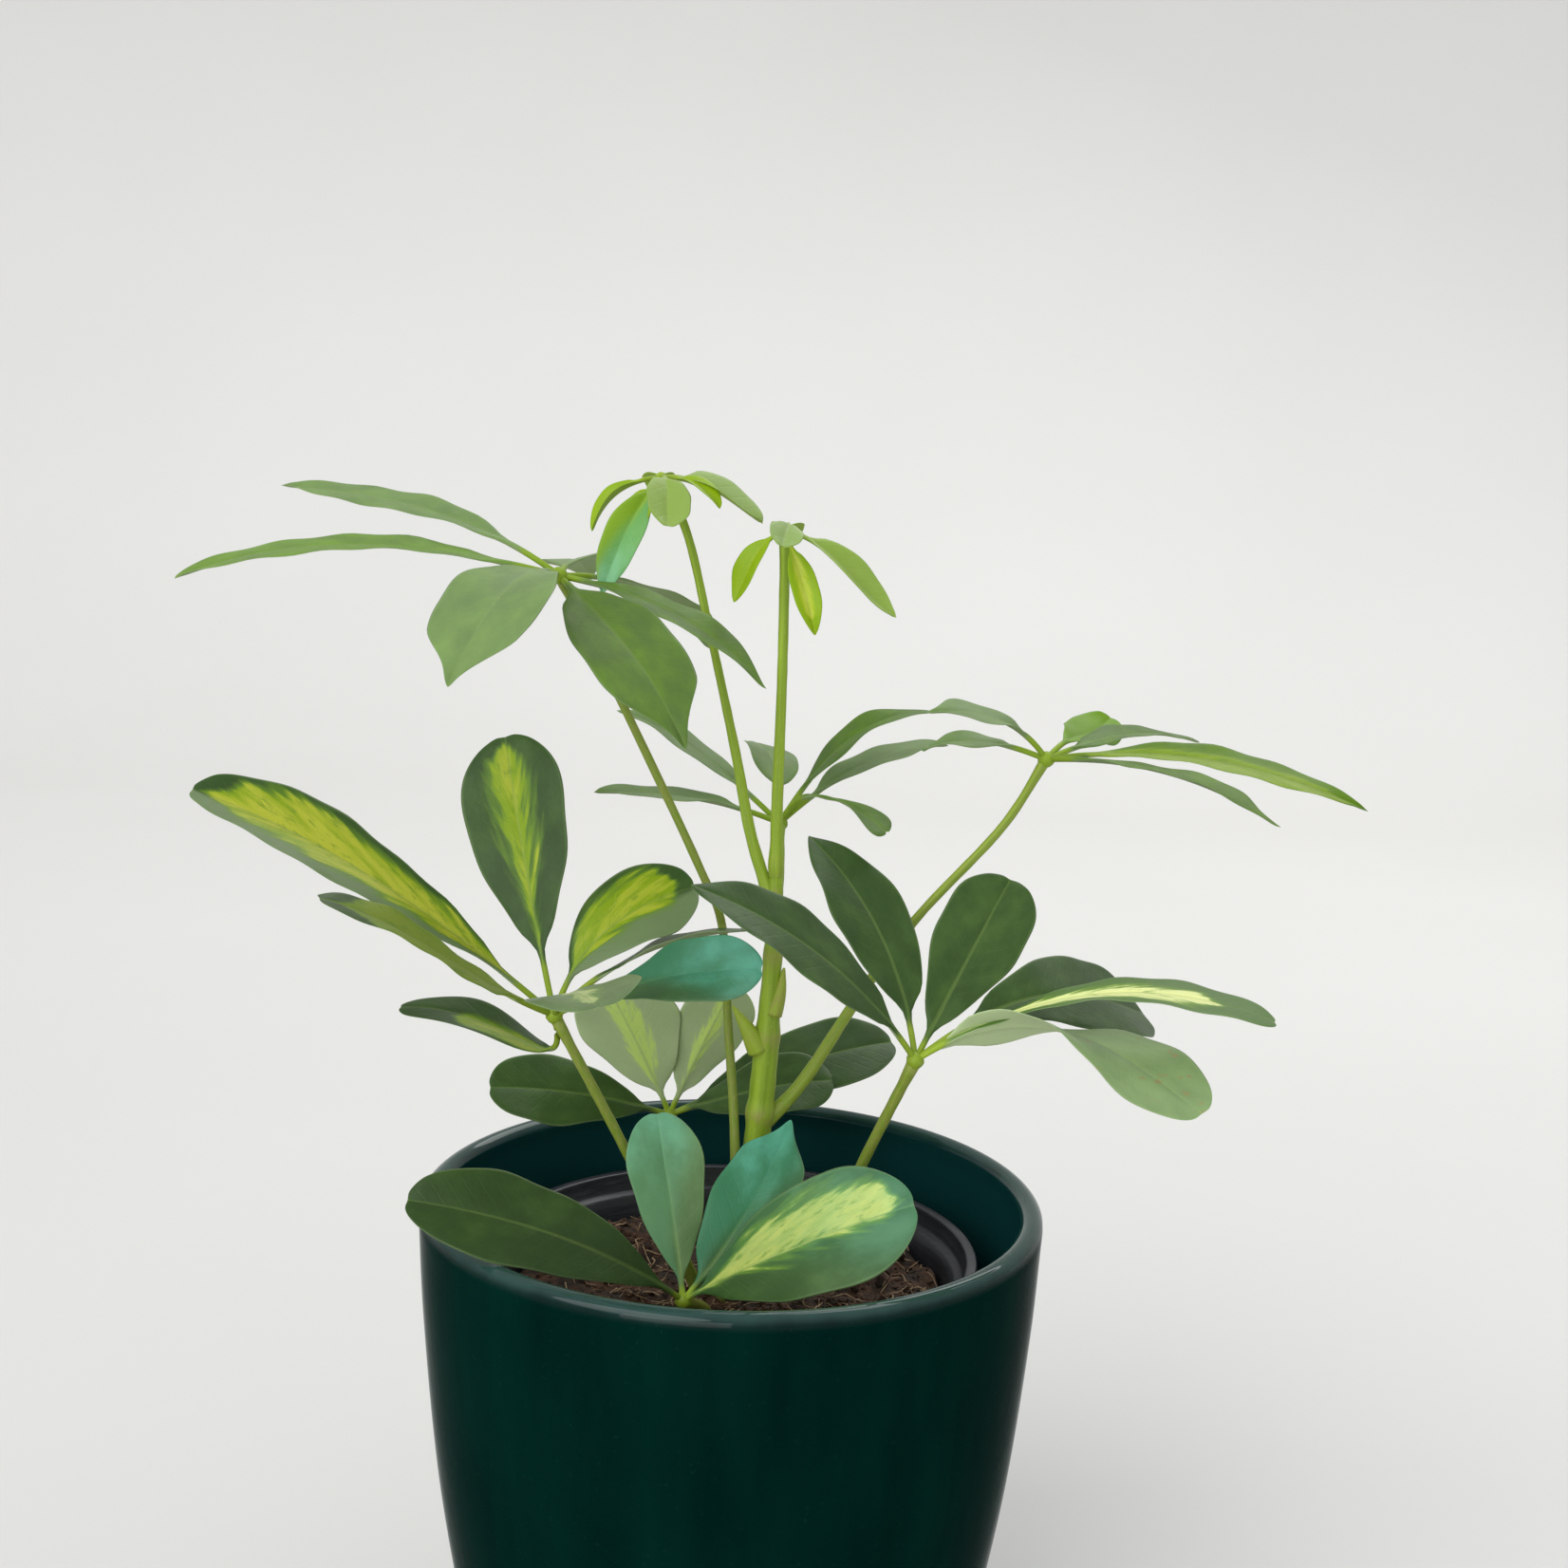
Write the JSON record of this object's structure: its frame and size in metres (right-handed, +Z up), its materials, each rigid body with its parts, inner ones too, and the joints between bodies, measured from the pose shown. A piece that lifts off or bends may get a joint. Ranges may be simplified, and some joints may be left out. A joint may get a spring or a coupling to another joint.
{
  "type": "potted umbrella plant",
  "caption": "Variegated dwarf umbrella tree in a dark green glazed pot: compound leaves of narrow leaflets spread from hubs on long stalks round one upright stem.",
  "frame": {"origin": "centre of the pot's flat foot, on the surface it stands on", "axes": "+Z up along the pot's axis and the stem, +X to the right of the plant's front view, -Y towards the viewer"},
  "size_m": [0.2749, 0.15, 0.3075],
  "materials": {
    "glaze": "gloss",
    "nursery_plastic": "satin",
    "potting_mix": "rough",
    "stem": "satin",
    "leaf": "satin",
    "variegated_leaf": "satin",
    "young_leaf": "satin"
  },
  "bodies": {
    "root": {"ceramic_pot": "glaze", "nursery_pot": "nursery_plastic", "potting_mix": "potting_mix", "main_stem": "stem", "petiole_upper_left": "stem", "leaflets_upper_left": "leaf", "petiole_crown_left": "stem", "leaflets_crown_left": "young_leaf", "petiole_crown_right": "stem", "leaflets_crown_right": "young_leaf", "petiole_upper_right": "stem", "leaflets_upper_right": "leaf", "petiole_rear_upper": "stem", "leaflets_rear_upper": "leaf", "petiole_right": "stem", "leaflets_right": "variegated_leaf", "petiole_left": "stem", "leaflets_left": "variegated_leaf", "petiole_rear_low": "stem", "leaflets_rear_low": "variegated_leaf", "petiole_front_low": "stem", "leaflets_front_low": "variegated_leaf"}
  },
  "joints": []
}
